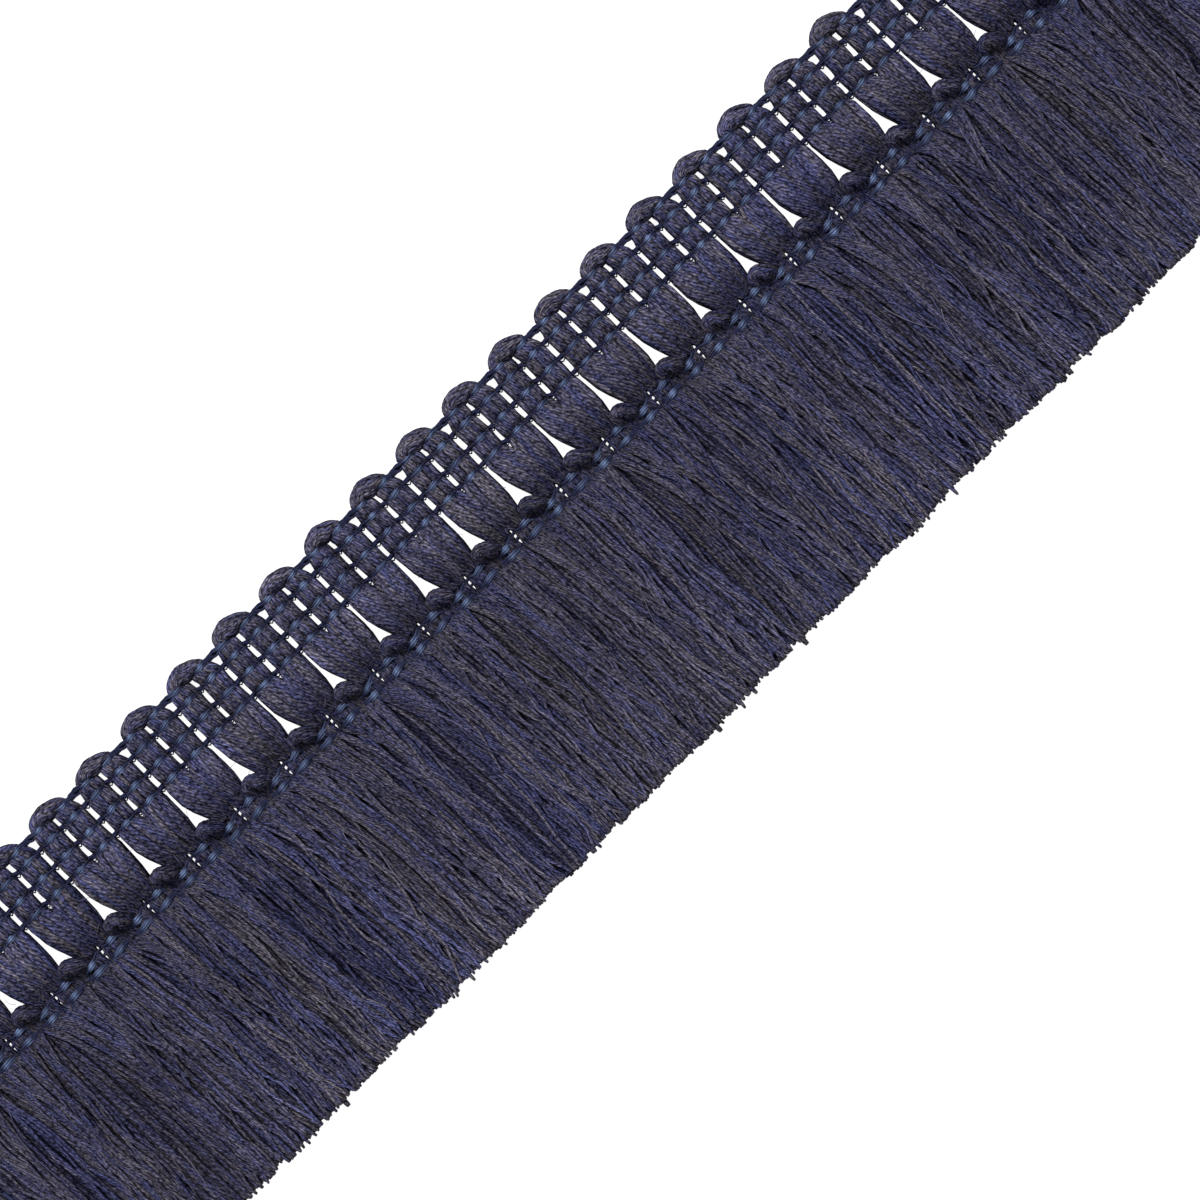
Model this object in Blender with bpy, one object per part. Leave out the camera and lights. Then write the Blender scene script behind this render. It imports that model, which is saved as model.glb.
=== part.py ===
"""Brush fringe trim: a cut length of woven trimming, lying flat.

Two pieces, as it is woven: an openwork heading with a scalloped edge, and a skirt of cut yarn
whose locks grow out of a narrow tie band with small knuckles along its top.

Frame: X runs along the trim, +Y points at the scallops and Z is up. The origin is under the
middle of the trim, on the surface that it lies on. All lengths are in metres.
"""

import math
import random
from collections import namedtuple

import bmesh
import bpy

MM = 0.001

# Driving dimensions
TRIM_WIDTH = 64.0 * MM  # scallop tops to cut edge
PITCH = 9.72 * MM  # one scallop to the next
REPEATS = 28
PARTING = 0.32 * MM  # clearance between the heading and the tie band

TOP_EDGE = TRIM_WIDTH / 2
LENGTH = REPEATS * PITCH

# The heading, row by row from the scallop tops down. All values are in millimetres:
# down: distance below the scallop tops      bow: how much lower the outer sides are
# shift: sideways drift of the weave         between: gap between two pairs of columns
# inside: gap within a pair                  crest: cloth height at a column's middle
# edge: height at its outer side             groove: height at its inner side
# open_between, open_inside: whether those gaps are open from this row to the next one
HeadingRow = namedtuple(
    "HeadingRow", "down bow shift between inside crest edge groove open_between open_inside"
)
HEADING_ROWS = [
    HeadingRow(0.00, 0.28, -0.30, 6.90, 0.60, 1.00, 0.90, 1.10, True, False),
    HeadingRow(0.45, 0.35, -0.30, 4.80, 0.70, 1.70, 1.10, 1.70, True, False),
    HeadingRow(1.20, 0.25, -0.25, 3.70, 0.80, 2.10, 1.20, 2.10, True, False),
    HeadingRow(2.20, 0.00, -0.20, 3.10, 0.80, 1.80, 1.20, 1.80, False, False),
    HeadingRow(3.15, 0.00, -0.15, 1.30, 0.60, 1.50, 1.20, 1.20, True, True),
    HeadingRow(4.50, 0.00, -0.10, 0.95, 0.65, 1.50, 1.20, 1.20, False, False),
    HeadingRow(5.55, 0.00, -0.10, 0.85, 0.70, 1.70, 1.20, 1.20, True, True),
    HeadingRow(7.85, 0.00, -0.05, 0.80, 0.75, 1.70, 1.20, 1.20, False, False),
    HeadingRow(8.85, 0.00, 0.00, 0.80, 0.75, 1.80, 1.20, 1.20, True, True),
    HeadingRow(10.85, 0.00, 0.00, 0.80, 0.75, 1.80, 1.20, 1.20, False, False),
    HeadingRow(11.85, 0.00, 0.00, 0.70, 0.55, 1.90, 1.20, 1.50, True, False),
    HeadingRow(15.20, 0.00, 0.15, 0.95, 0.40, 2.50, 1.50, 2.30, True, False),
    HeadingRow(17.40, 0.00, 0.35, 1.80, 0.35, 2.40, 1.50, 2.30, True, False),
    HeadingRow(19.20, 0.00, 0.45, 2.90, 0.30, 2.10, 1.30, 2.00, True, False),
    HeadingRow(20.85, -0.15, 0.55, 4.60, 0.40, 1.70, 1.20, 1.50, True, False),
]

# The tie band, row by row: knuckle and hollow are heights at a knuckle and half way to the next
BandRow = namedtuple("BandRow", "down shift half_knuckle knuckle root hollow is_knuckle")
BAND_ROWS = [
    BandRow(19.35, 0.45, 0.65, 1.60, 1.20, 1.20, True),
    BandRow(19.85, 0.50, 1.30, 2.60, 1.80, 1.80, True),
    BandRow(20.85 + PARTING / MM, 0.55, 1.85, 2.90, 2.30, 2.20, False),
    BandRow(22.70, 0.50, 2.30, 2.60, 2.70, 2.20, False),
    BandRow(24.50, 0.50, 2.40, 2.70, 2.70, 2.50, False),
]

# The skirt
LOCKS_PER_REPEAT = 8
LOCK_BASE = 0.96 * MM  # width on the surface
LOCK_TOP = 0.50 * MM  # width along the upper side
LOCK_HEIGHT = 2.20 * MM
LOCK_PITCH = PITCH / LOCKS_PER_REPEAT
RAGGED_CUT = 0.9 * MM  # how far a cut end may stop short of the full width
TIP_MARGIN = 0.02 * MM  # a leaning lock's end is square to the lock, so one corner is lower
JITTER = 0.05 * MM  # sideways wander of one lock
SWAY = 1.0 * MM  # sideways lean that neighbours share

# A lock from root to tip. reach: share of the way to its tip; rise: height of its underside;
# size: share of the full cross-section
LockStep = namedtuple("LockStep", "reach rise size")
LOCK_STEPS = [
    LockStep(0.00, 0.28 * MM, 0.86),
    LockStep(0.28, 0.00, 1.00),
    LockStep(0.64, 0.00, 1.00),
    LockStep(1.00, 0.00, 0.90),
]
ROOT_DOWN = 24.0 * MM  # where a lock starts, inside the band
FLAT_ENOUGH = math.radians(0.5)

NAVY_YARN = (0.040, 0.039, 0.066, 1.0)
NAVY_BAND = (0.030, 0.034, 0.062, 1.0)


def clear_scene():
    for obj in list(bpy.data.objects):
        bpy.data.objects.remove(obj, do_unlink=True)


def new_collection(name):
    collection = bpy.data.collections.new(name)
    bpy.context.scene.collection.children.link(collection)
    return collection


def yarn_material(name, colour):
    material = bpy.data.materials.new(name)
    material.use_nodes = True
    shader = material.node_tree.nodes["Principled BSDF"]
    shader.inputs["Base Color"].default_value = colour
    shader.inputs["Roughness"].default_value = 0.85
    shader.inputs["Metallic"].default_value = 0.0
    return material


def add_object(name, data, collection, material=None):
    obj = bpy.data.objects.new(name, data)
    collection.objects.link(obj)
    if material:
        data.materials.append(material)
    return obj


def woven_plate(name, rows, lines, place, is_open):
    """A closed plate with a flat underside and a relief on top, made from one grid.

    lines holds a (repeat, line) pair for each of the grid's columns, from left to right.
    place(row, repeat, line) gives a grid point, and is_open(row, repeat, line) says whether the
    cell up to the next row and the next column is a hole.
    """
    bm = bmesh.new()
    bmesh.ops.create_grid(bm, x_segments=len(lines) - 1, y_segments=len(rows) - 1, size=0.5)
    cells = {face: divmod(min(v.index for v in face.verts), len(lines)) for face in bm.faces}
    for vert in bm.verts:
        row, column = divmod(vert.index, len(lines))
        vert.co = place(rows[row], *lines[column])
    holes = [f for f, (row, column) in cells.items() if is_open(rows[row], *lines[column])]
    bmesh.ops.delete(bm, geom=holes, context="FACES")

    lowered = bmesh.ops.extrude_face_region(bm, geom=bm.faces[:])["geom"]
    underside = [part for part in lowered if isinstance(part, bmesh.types.BMVert)]
    for vert in underside:
        vert.co.z = 0.0
    bmesh.ops.recalc_face_normals(bm, faces=bm.faces[:])
    flat_edges = {e for v in underside for e in v.link_edges if e.other_vert(v).co.z == 0.0}
    bmesh.ops.dissolve_limit(
        bm, angle_limit=FLAT_ENOUGH, verts=underside, edges=list(flat_edges)
    )
    mesh = bpy.data.meshes.new(name)
    bm.to_mesh(mesh)
    bm.free()
    return mesh


def repeat_centre(repeat):
    return (repeat + 0.5) * PITCH - LENGTH / 2


def heading_point(row, repeat, line):
    """Lines 0 to 2 are the left column's sides and middle, and lines 3 to 5 the right one's."""
    outer = PITCH / 2 - row.between * MM / 2
    inner = row.inside * MM / 2
    middle = (outer + inner) / 2
    across = (-outer, -middle, -inner, inner, middle, outer)[line]
    height = (row.edge, row.crest, row.groove, row.groove, row.crest, row.edge)[line]
    bow = row.bow if line in (0, 5) else 0.0
    x = repeat_centre(repeat) + row.shift * MM + across
    return x, TOP_EDGE - (row.down + bow) * MM, height * MM


def heading_gap(row, repeat, line):
    """Line 5 starts the gap between pairs, and line 2 the gap within a pair."""
    return (line == 5 and row.open_between) or (line == 2 and row.open_inside)


def at_trim_end(repeat):
    return repeat in (0, REPEATS)


def band_point(row, repeat, line):
    """Lines 0 to 2 cross the knuckle at the start of a repeat, and line 3 is its middle."""
    half = row.half_knuckle * MM
    across = (-half, 0.0, half, PITCH / 2)[line]
    height = (row.root, row.knuckle, row.root, row.hollow)[line]
    shift = 0.0 if at_trim_end(repeat) and line == 1 else row.shift * MM
    x = repeat_centre(repeat) - PITCH / 2 + shift + across
    return x, TOP_EDGE - row.down * MM, height * MM


def band_gap(row, repeat, line):
    """The knuckles stand clear of each other, and there is none at either end of the trim."""
    return row.is_knuckle and (at_trim_end(repeat) or line in (2, 3))


def lean(x):
    """Sideways lean of the locks at x, which dies away at the trim's two ends."""
    turns = 2 * math.pi * x
    wave = 0.6 * math.sin(turns / (71 * MM)) + 0.4 * math.sin(turns / (43 * MM) + 1.0)
    return SWAY * wave * (1 - (2 * x / LENGTH) ** 4)


def lock_section(collection):
    """A lock's cross-section: flat below, with its origin on the surface, and narrower on top."""
    curve = bpy.data.curves.new("lock_section", "CURVE")
    curve.dimensions = "2D"
    spline = curve.splines.new("POLY")
    outline = [
        (-LOCK_BASE / 2, 0.0),
        (LOCK_BASE / 2, 0.0),
        (LOCK_TOP / 2, LOCK_HEIGHT),
        (-LOCK_TOP / 2, LOCK_HEIGHT),
    ]
    spline.points.add(len(outline) - 1)
    for point, (across, up) in zip(spline.points, outline):
        point.co = (across, up, 0.0, 1.0)
    spline.use_cyclic_u = True
    return add_object("lock_section", curve, collection)


def lock_curves(section, collection):
    """All the locks as one curve object, one spline for each."""
    rng = random.Random(7)
    curve = bpy.data.curves.new("locks", "CURVE")
    curve.dimensions = "3D"
    curve.twist_mode = "Z_UP"
    curve.bevel_mode = "OBJECT"
    curve.bevel_object = section
    curve.use_fill_caps = True
    for number in range(REPEATS * LOCKS_PER_REPEAT):
        root_x = (number + 0.5) * LOCK_PITCH - LENGTH / 2
        wander = rng.uniform(-JITTER, JITTER)
        tip_down = TRIM_WIDTH - TIP_MARGIN - RAGGED_CUT * rng.random() ** 2
        spline = curve.splines.new("POLY")
        spline.points.add(len(LOCK_STEPS) - 1)
        for point, step in zip(spline.points, LOCK_STEPS):
            down = ROOT_DOWN + step.reach * (tip_down - ROOT_DOWN)
            x = root_x + step.reach * (lean(root_x) + wander)
            point.co = (x, TOP_EDGE - down, step.rise, 1.0)
            point.radius = step.size
    return add_object("locks", curve, collection)


def as_closed_mesh(curve_object, name, collection):
    """The curve object's evaluated shape as a mesh object, with its caps welded on."""
    bpy.context.view_layer.update()
    evaluated = curve_object.evaluated_get(bpy.context.evaluated_depsgraph_get())
    mesh = bpy.data.meshes.new_from_object(evaluated)
    bm = bmesh.new()
    bm.from_mesh(mesh)
    bmesh.ops.remove_doubles(bm, verts=bm.verts[:], dist=0.001 * MM)
    bmesh.ops.recalc_face_normals(bm, faces=bm.faces[:])
    bm.to_mesh(mesh)
    bm.free()
    obj = add_object(name, mesh, collection)
    obj.matrix_world = curve_object.matrix_world
    bpy.data.objects.remove(curve_object, do_unlink=True)
    return obj


def make_guide(obj):
    obj.hide_render = True
    obj.display_type = "WIRE"


def build_heading(trim):
    lines = [(repeat, line) for repeat in range(REPEATS) for line in range(6)]
    mesh = woven_plate("heading", HEADING_ROWS, lines, heading_point, heading_gap)
    return add_object("heading", mesh, trim, yarn_material("heading_yarn", NAVY_BAND))


def build_skirt(trim, cutters):
    """The tie band with the locks joined on at their roots."""
    inner_lines = [(repeat, line) for repeat in range(1, REPEATS) for line in range(4)]
    lines = [(0, 1), (0, 3), *inner_lines, (REPEATS, 1)]
    mesh = woven_plate("skirt", BAND_ROWS, lines, band_point, band_gap)
    skirt = add_object("skirt", mesh, trim, yarn_material("skirt_yarn", NAVY_YARN))

    section = lock_section(cutters)
    locks = as_closed_mesh(lock_curves(section, cutters), "skirt_locks", cutters)
    make_guide(section)
    make_guide(locks)
    join = skirt.modifiers.new("locks", "BOOLEAN")
    join.operation = "UNION"
    join.solver = "EXACT"
    join.object = locks
    return skirt


def main():
    clear_scene()
    trim = new_collection("brush_fringe_trim")
    cutters = new_collection("cutters")
    build_heading(trim)
    build_skirt(trim, cutters)


main()
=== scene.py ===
"""Brush fringe trim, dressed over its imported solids.

Laid out as an add-on and run as a script. Bundles of soft low-twist yarn are looped into a
scalloped edge and small knuckles, fine threads are woven across them, and the cut ends hang as a
brush.

X runs along the trim, +Y points at the scallops and Z is up. Paths are worked out in
millimetres, with "down" measured from the scallop tops to the cut edge.
"""

import math
from collections import namedtuple

import bpy
import numpy as np
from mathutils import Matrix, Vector


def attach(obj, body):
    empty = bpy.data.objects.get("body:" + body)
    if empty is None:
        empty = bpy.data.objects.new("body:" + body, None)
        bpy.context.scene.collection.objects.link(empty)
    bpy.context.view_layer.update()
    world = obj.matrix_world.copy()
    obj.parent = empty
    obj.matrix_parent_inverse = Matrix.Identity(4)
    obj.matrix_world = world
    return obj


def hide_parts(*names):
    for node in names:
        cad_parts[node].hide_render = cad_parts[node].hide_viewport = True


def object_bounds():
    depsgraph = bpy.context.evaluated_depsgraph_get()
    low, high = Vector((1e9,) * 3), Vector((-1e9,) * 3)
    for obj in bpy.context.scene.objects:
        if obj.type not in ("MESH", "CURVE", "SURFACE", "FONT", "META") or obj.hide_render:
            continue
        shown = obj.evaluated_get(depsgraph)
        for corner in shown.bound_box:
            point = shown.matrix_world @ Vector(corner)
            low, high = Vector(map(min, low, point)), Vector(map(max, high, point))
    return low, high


bl_info = {
    "name": "Brush Fringe Trim",
    "version": (1, 0, 0),
    "blender": (4, 5, 0),
    "location": "View3D > Sidebar > Fringe",
    "description": "Winds the yarns, threads and cut skirt of a brush fringe trim",
    "category": "Object",
}

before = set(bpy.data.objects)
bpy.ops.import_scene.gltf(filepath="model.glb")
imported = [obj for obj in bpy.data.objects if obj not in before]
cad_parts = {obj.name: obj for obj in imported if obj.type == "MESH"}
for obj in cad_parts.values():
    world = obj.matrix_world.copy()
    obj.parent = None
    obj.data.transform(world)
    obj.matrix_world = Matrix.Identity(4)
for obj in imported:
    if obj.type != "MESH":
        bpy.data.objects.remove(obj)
CAD_BOX = [list(corner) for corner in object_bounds()]

MM = 0.001
TOP_EDGE = CAD_BOX[1][1] / MM
PITCH = 9.72  # one scallop to the next
REPEATS = round((CAD_BOX[1][0] - CAD_BOX[0][0]) / MM / PITCH)
LENGTH = REPEATS * PITCH
COLUMN = PITCH / 2  # one column of yarn to the next
BAND_EDGE = 24.4  # down to the tie band's lower edge, where the yarns come free
TABLE_GAP = 0.02  # millimetres kept between the yarns and the table

# A bundle of yarns follows a row of these, in millimetres. down: distance below the scallop
# tops; middle: its centre, sideways from its loop's centre line; half: half the spread of its
# yarns; height and rise: its middle height and half the spread in height; round: 0 where it
# lies flat and 1 where it is a round rope
BundleRow = namedtuple("BundleRow", "down middle half height rise round")

# One leg of a scallop's bundle, from its turn at the edge to the tie band. It is pinched where a
# line of thread crosses it and swells between them
SCALLOP_LEG = [
    BundleRow(2.35, 2.14, 1.24, 1.02, 0.60, 1.00),
    BundleRow(2.80, 2.16, 1.54, 0.80, 0.46, 0.70),
    BundleRow(3.40, 2.24, 1.66, 1.02, 0.64, 0.40),
    BundleRow(4.05, 2.36, 1.71, 1.08, 0.74, 0.25),
    BundleRow(4.50, 2.42, 1.78, 0.95, 0.60, 0.30),
    BundleRow(5.05, 2.43, 1.84, 0.66, 0.38, 0.50),
    BundleRow(5.60, 2.43, 1.78, 0.95, 0.60, 0.30),
    BundleRow(6.20, 2.43, 1.76, 1.12, 0.80, 0.25),
    BundleRow(7.15, 2.43, 1.76, 1.12, 0.80, 0.25),
    BundleRow(7.75, 2.43, 1.78, 0.95, 0.60, 0.30),
    BundleRow(8.30, 2.43, 1.84, 0.66, 0.38, 0.50),
    BundleRow(8.85, 2.43, 1.78, 0.95, 0.60, 0.30),
    BundleRow(9.40, 2.43, 1.76, 1.12, 0.80, 0.25),
    BundleRow(10.20, 2.43, 1.76, 1.12, 0.80, 0.25),
    BundleRow(10.77, 2.43, 1.78, 0.95, 0.60, 0.30),
    BundleRow(11.32, 2.43, 1.84, 0.66, 0.38, 0.50),
    BundleRow(11.90, 2.39, 1.84, 0.98, 0.64, 0.30),
    BundleRow(12.60, 2.30, 1.94, 1.15, 0.84, 0.15),
    BundleRow(13.60, 2.12, 2.06, 1.25, 0.92, 0.20),
    BundleRow(15.30, 1.95, 2.20, 1.30, 0.96, 0.30),
    BundleRow(17.20, 1.80, 2.08, 1.28, 0.95, 0.35),
    BundleRow(18.80, 1.64, 1.84, 1.16, 0.82, 0.30),
    BundleRow(20.10, 1.54, 1.62, 1.00, 0.62, 0.25),
    BundleRow(21.10, 1.53, 1.08, 0.80, 0.46, 0.20),
    BundleRow(21.75, 1.54, 1.06, 0.66, 0.36, 0.20),
]
# The same yarns under the band and out into the skirt
LONG_END = [
    BundleRow(21.45, 1.53, 1.06, 0.72, 0.40, 0.20),
    BundleRow(21.75, 1.54, 1.06, 0.66, 0.36, 0.20),
    BundleRow(23.10, 1.52, 1.06, 1.02, 0.66, 0.20),
    BundleRow(24.00, 1.40, 1.14, 0.68, 0.38, 0.20),
    BundleRow(25.00, 1.34, 1.12, 1.08, 0.72, 0.10),
    BundleRow(26.50, 1.30, 1.08, 1.28, 0.92, 0.00),
    BundleRow(30.00, 1.25, 1.02, 1.32, 0.96, 0.00),
    BundleRow(36.00, 1.22, 1.00, 1.28, 0.93, 0.00),
    BundleRow(56.00, 1.22, 1.00, 1.15, 0.80, 0.00),
    BundleRow(64.00, 1.22, 1.00, 1.05, 0.70, 0.00),
]
# One leg of a knuckle's bundle, from its turn to the cut edge
KNUCKLE_LEG = [
    BundleRow(21.00, 0.98, 1.04, 1.66, 0.66, 1.00),
    BundleRow(21.60, 1.04, 1.04, 1.16, 0.54, 0.80),
    BundleRow(22.20, 1.14, 1.06, 0.86, 0.46, 0.60),
    BundleRow(22.70, 1.22, 1.10, 0.82, 0.42, 0.40),
    BundleRow(24.00, 1.30, 1.16, 0.68, 0.38, 0.20),
    BundleRow(25.00, 1.30, 1.12, 1.10, 0.74, 0.10),
    BundleRow(26.50, 1.28, 1.08, 1.32, 0.96, 0.00),
    BundleRow(30.00, 1.24, 1.02, 1.38, 1.02, 0.00),
    BundleRow(36.00, 1.22, 1.00, 1.34, 0.98, 0.00),
    BundleRow(56.00, 1.22, 1.00, 1.15, 0.80, 0.00),
    BundleRow(64.00, 1.22, 1.00, 1.05, 0.70, 0.00),
]

# Yarn is squeezed where it is woven and blooms where it is free: its width at each distance
# down, as a share of the yarn's width
BLOOM = (
    (0.0, 2.35, 2.80, 3.8, 12.0, 14.5, 17.5, 20.5, 24.0, 27.0),
    (1.0, 1.0, 0.92, 1.04, 1.04, 1.24, 1.20, 1.0, 0.96, 1.0),
)

# A turn joins two legs over an arch. half_width and rise are its middle line's, half the spread
# of its yarns at the crest, point how far the arch is from an ellipse (2) towards a tent (1),
# lift how high the crest stands, twist how far the bundle rolls over (degrees), and skew how
# much lower its right foot is than its left one
Turn = namedtuple("Turn", "half_width rise half point lift twist skew steps")
SCALLOP_TURN = Turn(2.14, 0.76, 1.34, 1.68, 0.30, 60.0, 0.0, 13)
KNUCKLE_TURN = Turn(0.98, 0.86, 1.16, 1.9, 0.36, 60.0, 0.8, 10)
SKEW_REACH = 2.9  # millimetres below a turn over which its skew dies out

# The weave drifts sideways by this much (millimetres) at each distance down
DRIFT = (
    (0.0, 2.5, 4.0, 12.0, 15.3, 17.3, 19.2, 21.0, 24.0),
    (-0.50, -0.22, 0.0, 0.0, 0.15, 0.38, 0.55, 0.70, 0.70),
)

# How many yarns lie in each of a bundle's layers, from -1 at the back to 1 at the face
LAYERS = {-1.0: 4, 0.0: 5, 1.0: 7}
BUNDLE = sum(LAYERS.values())

# Places in a bundle run from -1 at its back to 1 at its face. These give, from place to place,
# how loosely a yarn hangs in the skirt, its share of its lock's fall to one side, how much finer
# it is in the skirt and in the puffs, where the face parts into finer ends, and how much painted
# shade darkens it where it lies under the yarns above it
LOOSE = ((-1.0, -0.7, 0.0, 1.0), (0.03, 0.05, 0.5, 1.1))
FALL_SHARE = ((-1.0, -0.6, 0.0, 1.0), (0.0, 0.0, 0.35, 1.1))
FINER_IN_SKIRT = ((-1.0, 0.0, 1.0), (-0.22, 0.0, 0.22))
FINER_IN_PUFF = ((-1.0, 0.0, 1.0), (-0.32, -0.24, -0.10))
# Painted shade on the yarns that lie under others
DEPTH_SHADE = ((-1.0, 0.0, 1.0), (0.60, 0.85, 1.03))

# Painted light and shade: how much light the yarns get where they lie close, at distances down
# for the scalloped loops, whose puffs run in under the knuckles, and at distances below the band
# for the skirt
HEADING_LIGHT = (
    (2.5, 4.0, 11.5, 12.3, 15.4, 16.4, 18.0, 19.4, 20.3, 21.3),
    (1.05, 0.97, 0.97, 1.05, 1.0, 0.80, 0.64, 0.57, 0.46, 0.70),
)
SKIRT_LIGHT = (
    (0.5, 1.5, 3.0, 4.5, 9.0, 18.0, 28.0, 38.0),
    (0.65, 0.68, 0.84, 0.95, 0.92, 0.94, 1.11, 1.22),
)

# A line of thread: where it crosses, how much lower it sags right of each knuckle, the height of
# its middle, how far it swings over and under the columns, and how deep the painted shade is on
# the yarn under it. Three threads pass over a column side by side while three pass under
# it; in the gaps they draw together, save one that may stray; strays are their places there
ThreadLine = namedtuple("ThreadLine", "down sag height swing press strays")
BESIDE = (-0.33, 0.0, 0.33)
STRAYS = (-0.30, -0.14, 0.66, -0.12, 0.14, 0.02)
LONE_STRAY = max(STRAYS)
HEADING_LINES = [
    ThreadLine(2.66, 0.0, 0.92, 0.90, 0.12, (-0.40, -0.24, 0.30, -0.08, 0.10, 0.20)),
    ThreadLine(5.02, 0.0, 0.88, 0.90, 0.50, STRAYS),
    ThreadLine(8.26, 0.0, 0.88, 0.90, 0.50, STRAYS),
    ThreadLine(11.30, 0.0, 0.88, 0.90, 0.50, STRAYS),
]
BAND_LINES = [
    ThreadLine(21.85, 0.80, 0.92, 0.92, 0.50, (-0.55, 0.60, -0.42, 0.44, -0.50, 0.52)),
    ThreadLine(23.95, 0.15, 0.92, 0.92, 0.50, (-0.16, 0.0, 0.16, -0.08, 0.08, 0.0)),
]
# The painted shade of a line lies this far below it and fades over this reach (millimetres)
SHADE_BELOW = 0.12
SHADE_REACH = 0.60

SIDES = 5  # of each yarn's and thread's tube


def linear(hex_colour):
    """An sRGB hex colour as linear red, green, blue and alpha."""
    parts = [int(hex_colour[i : i + 2], 16) / 255 for i in (1, 3, 5)]
    return [c / 12.92 if c <= 0.04045 else ((c + 0.055) / 1.055) ** 2.4 for c in parts] + [1.0]


# ---------------------------------------------------------------- settings


class FringeYarn(bpy.types.PropertyGroup):
    """The bulky low-twist yarn."""

    width: bpy.props.FloatProperty(
        name="Width", description="Width of one yarn", default=0.72 * MM, unit="LENGTH"
    )
    turn: bpy.props.FloatProperty(
        name="Turn",
        description="Length in which the yarn's fibres go once round it",
        default=6.4 * MM,
        unit="LENGTH",
    )
    navy: bpy.props.FloatVectorProperty(
        name="Navy",
        description="Navy fibre in the blend",
        default=linear("#434569"),
        size=4,
        subtype="COLOR",
    )
    charcoal: bpy.props.FloatVectorProperty(
        name="Charcoal",
        description="Grey fibre in the blend",
        default=linear("#5c5863"),
        size=4,
        subtype="COLOR",
    )


class FringeThread(bpy.types.PropertyGroup):
    """The fine lustrous thread woven across the yarn."""

    width: bpy.props.FloatProperty(
        name="Width", description="Width of one thread", default=0.42 * MM, unit="LENGTH"
    )
    # The colour of the thread's painted highlight
    colour: bpy.props.FloatVectorProperty(
        name="Colour",
        description="The thread where it shines",
        default=linear("#66779b"),
        size=4,
        subtype="COLOR",
    )
    # The colour of the thread's painted shade
    shadow: bpy.props.FloatVectorProperty(
        name="Shadow",
        description="The thread where it lies in the shade",
        default=linear("#202339"),
        size=4,
        subtype="COLOR",
    )


class FringeSkirt(bpy.types.PropertyGroup):
    """How the cut yarns hang."""

    lean: bpy.props.FloatProperty(
        name="Lean",
        description="Angle by which the skirt hangs to one side",
        default=math.radians(1.2),
        subtype="ANGLE",
    )
    locks: bpy.props.FloatProperty(
        name="Locks",
        description="How far locks of the top yarns fall to one side",
        default=1.8 * MM,
        unit="LENGTH",
    )
    clumping: bpy.props.FloatProperty(
        name="Clumping",
        description="How far neighbouring yarns draw together",
        default=0.45 * MM,
        unit="LENGTH",
    )
    ragged: bpy.props.FloatProperty(
        name="Ragged edge",
        description="How unevenly the ends are cut",
        default=0.9 * MM,
        unit="LENGTH",
    )


# ---------------------------------------------------------------- paths


def smooth_table(rows, at):
    """The columns of a table at these distances down, on a smooth curve through its rows."""
    table = np.array(rows, float)
    knots, values = table[:, 0], table[:, 1:]
    slopes = np.gradient(values, knots, axis=0)
    i = np.clip(np.searchsorted(knots, at, side="right") - 1, 0, len(knots) - 2)
    step = (knots[i + 1] - knots[i])[:, None]
    t = ((at - knots[i]) / step[:, 0])[:, None]
    h00, h10 = 2 * t**3 - 3 * t**2 + 1, t**3 - 2 * t**2 + t
    h01, h11 = 3 * t**2 - 2 * t**3, t**3 - t**2
    return (
        h00 * values[i]
        + h10 * step * slopes[i]
        + h01 * values[i + 1]
        + h11 * step * slopes[i + 1]
    )


def drift(down):
    """How far the weave lies to the side at these distances down."""
    return np.interp(down, *DRIFT)


def places_in_bundle(rng, count):
    """The places of each bundle's yarns, from -1 to 1 across and deep, a little uneven."""
    across = np.concatenate([np.linspace(-1.0, 1.0, n) for n in LAYERS.values()])
    deep = np.concatenate([np.full(n, layer) for layer, n in LAYERS.items()])
    across, deep = np.tile(across, (count, 1)), np.tile(deep, (count, 1))
    across = across + rng.uniform(-0.06, 0.06, across.shape)
    deep = deep + rng.uniform(-0.16, 0.16, deep.shape)
    return np.clip(across, -1.0, 1.0).ravel(), np.clip(deep, -1.0, 1.0).ravel()


def rounded(across, deep, roundness):
    """Flat places drawn towards those of a round rope by roundness."""
    x = across * (1 - roundness * (1 - np.sqrt(1 - deep**2 / 2)))
    z = deep * (1 - roundness * (1 - np.sqrt(1 - across**2 / 2)))
    return x, z


def leg(rows, at, across, deep, side):
    """One leg's points for each yarn: (sideways, down, height), with axes yarn, point, xyz."""
    middle, half, height, rise, roundness = smooth_table(rows, at).T
    x, z = rounded(across[:, None], deep[:, None], roundness[None])
    sideways = side * (middle + half * x)
    return np.stack([sideways, np.broadcast_to(at, x.shape), height + rise * z], axis=-1)


def turn(rows, shape, across, deep):
    """The points of each yarn in the turn between the left leg and the right one."""
    start = rows[0]
    angle = np.linspace(0, math.pi, shape.steps + 2)[1:-1]
    c, s = np.cos(angle), np.sin(angle)
    tent = (np.abs(c) ** shape.point + s**shape.point) ** (-1 / shape.point)
    roll = math.radians(shape.twist) * c * s
    x, z = rounded(across[:, None], deep[:, None], 1.0)
    out = x * np.cos(roll) + z * np.sin(roll)
    up = z * np.cos(roll) - x * np.sin(roll)
    reach = (start.half + (shape.half - start.half) * s) * out
    sideways = -(shape.half_width + reach) * c * tent
    down = start.down - (shape.rise + reach) * s * tent + shape.skew * (0.5 - 0.5 * c)
    height = start.height + shape.lift * s + start.rise * (1 + 0.2 * s) * up
    return np.stack([sideways, down, height], axis=-1)


def loops(rows, shape, at, across, deep):
    """Whole loops: up the left leg, over the turn and down the right leg."""
    left = leg(rows, at[::-1], across, deep, -1.0)
    right = leg(rows, at, across, deep, 1.0)
    near = np.clip(1 - (right[..., 1] - rows[0].down) / SKEW_REACH, 0, 1)
    right[..., 1] += shape.skew * near**2
    return np.concatenate([left, turn(rows, shape, across, deep), right], axis=1)


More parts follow.
